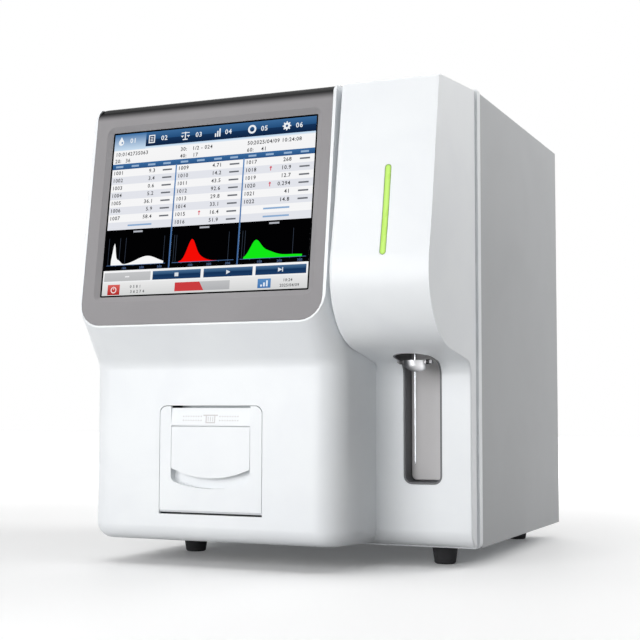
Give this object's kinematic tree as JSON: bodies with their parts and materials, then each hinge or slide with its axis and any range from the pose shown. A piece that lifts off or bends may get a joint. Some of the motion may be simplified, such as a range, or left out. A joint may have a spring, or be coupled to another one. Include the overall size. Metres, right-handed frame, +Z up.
{
  "type": "hematology analyzer",
  "caption": "Bench-top blood cell counter: leaning touch display, sample probe in a recess under a rounded nose, printer with a paper door, status light and sheet-metal cabinet.",
  "frame": {"origin": "middle of the bounding box's footprint, on the table under the feet", "axes": "+Z up, +Y to the rear panel, +X to the right of someone who faces the screen"},
  "size_m": [0.3526, 0.471, 0.4439],
  "materials": {
    "white_moulding": "white semi-gloss moulding",
    "grey_panel": "grey powder coat, fine texture",
    "bezel_grey": "satin grey",
    "dark_plastic": "dark satin",
    "black_plastic": "black satin",
    "foot_rubber": "matt black",
    "roller_rubber": "fine matt",
    "bright_steel": "polished",
    "zinc_sheet": "dull plated",
    "screen_glass": "glossy touch panel with a lit picture",
    "light_green": "lit lens",
    "key_grey": "satin light grey",
    "board_green": "circuit board",
    "paper_white": "thermal paper",
    "clear_plastic": "clear plastic",
    "brass": "satin",
    "port_green": "satin",
    "port_blue": "satin",
    "port_orange": "satin",
    "port_red": "satin"
  },
  "bodies": {
    "cabinet": {"front_housing": "white_moulding", "front_rim": "white_moulding", "left_side_panel": "grey_panel", "right_side_panel": "grey_panel", "top_cover": "grey_panel", "rear_panel": "grey_panel", "display_bezel": "bezel_grey", "probe_bay_liner": "dark_plastic", "printer_bucket": "dark_plastic", "probe_motor": "dark_plastic", "syringe_motor": "dark_plastic", "waste_sensor_socket": "dark_plastic", "valve_manifold": "black_plastic", "diaphragm_pump": "black_plastic", "fan_frame": "black_plastic", "power_inlet": "black_plastic", "foot_front_left": "foot_rubber", "foot_front_right": "foot_rubber", "foot_rear_left": "foot_rubber", "foot_rear_right": "foot_rubber", "probe_wipe_block": "bright_steel", "probe_guide_rod_left": "bright_steel", "probe_guide_rod_right": "bright_steel", "lcd_module": "zinc_sheet", "chassis_tray": "zinc_sheet", "inner_bulkhead": "zinc_sheet", "probe_tower": "zinc_sheet", "syringe_bracket": "zinc_sheet", "power_supply": "zinc_sheet", "print_head": "zinc_sheet", "serial_port": "zinc_sheet", "usb_socket": "zinc_sheet", "network_socket": "zinc_sheet", "touch_glass": "screen_glass", "status_light_lens": "light_green", "status_led_board": "board_green", "main_board": "board_green", "syringe_barrel": "clear_plastic", "wbc_bath": "clear_plastic", "rbc_bath": "clear_plastic", "vacuum_chamber": "clear_plastic", "ground_terminal": "brass", "diluent_port": "port_green", "rinse_port": "port_blue", "lyse_port": "port_orange", "waste_port": "port_red"},
    "printer_door_panel": {"printer_door": "white_moulding"},
    "printer_lever": {"door_lever": "white_moulding"},
    "platen": {"platen_roller": "roller_rubber"},
    "paper": {"paper_roll": "paper_white"},
    "start_key": {"aspirate_key": "key_grey"},
    "probe_lift": {"sample_probe": "bright_steel", "probe_carriage": "dark_plastic"},
    "lift_screw": {"probe_drive_screw": "bright_steel"},
    "plunger": {"syringe_plunger": "dark_plastic"},
    "fan_wheel": {"fan_rotor": "black_plastic"},
    "rocker": {"power_switch": "black_plastic"}
  },
  "joints": [
    {"name": "printer_door_hinge", "type": "hinge", "parent": "cabinet", "child": "printer_door_panel", "pos_m": [-0.04545, -0.2049, 0.0535], "axis": [1, 0, 0], "range_deg": [0, 75]},
    {"name": "printer_lever_hinge", "type": "hinge", "parent": "printer_door_panel", "child": "printer_lever", "pos_m": [-0.04545, -0.2077, 0.127], "axis": [-1, 0, 0], "range_deg": [0, 25], "stiffness_Nm_per_rad": 0.05},
    {"name": "platen_spin", "type": "hinge", "parent": "printer_door_panel", "child": "platen", "pos_m": [-0.04545, -0.1966, 0.1346], "axis": [1, 0, 0], "continuous": true},
    {"name": "paper_roll_spin", "type": "hinge", "parent": "cabinet", "child": "paper", "pos_m": [-0.04545, -0.1736, 0.05979], "axis": [1, 0, 0], "continuous": true},
    {"name": "start_key_press", "type": "slide", "parent": "cabinet", "child": "start_key", "axis": [0, 1, 0], "range_m": [0, 0.0015], "stiffness_N_per_m": 800},
    {"name": "probe_raise", "type": "slide", "parent": "cabinet", "child": "probe_lift", "axis": [0, 0, 1], "range_m": [0, 0.095]},
    {"name": "lift_screw_turn", "type": "hinge", "parent": "cabinet", "child": "lift_screw", "pos_m": [0.12795, -0.0795, 0], "axis": [0, 0, 1], "range_deg": [0, 1711]},
    {"name": "syringe_stroke", "type": "slide", "parent": "cabinet", "child": "plunger", "axis": [0, 0, -1], "range_m": [0, 0.035]},
    {"name": "fan_spin", "type": "hinge", "parent": "cabinet", "child": "fan_wheel", "pos_m": [-0.092, 0.2055, 0.3471], "axis": [0, 1, 0], "continuous": true},
    {"name": "power_rocker", "type": "hinge", "parent": "cabinet", "child": "rocker", "pos_m": [-0.088, 0.2218, 0.0831], "axis": [1, 0, 0], "range_deg": [0, 16]}
  ],
  "couplings": [
    {"joint": "lift_screw_turn", "follows": "probe_raise", "rad_per_m": 314.16}
  ]
}
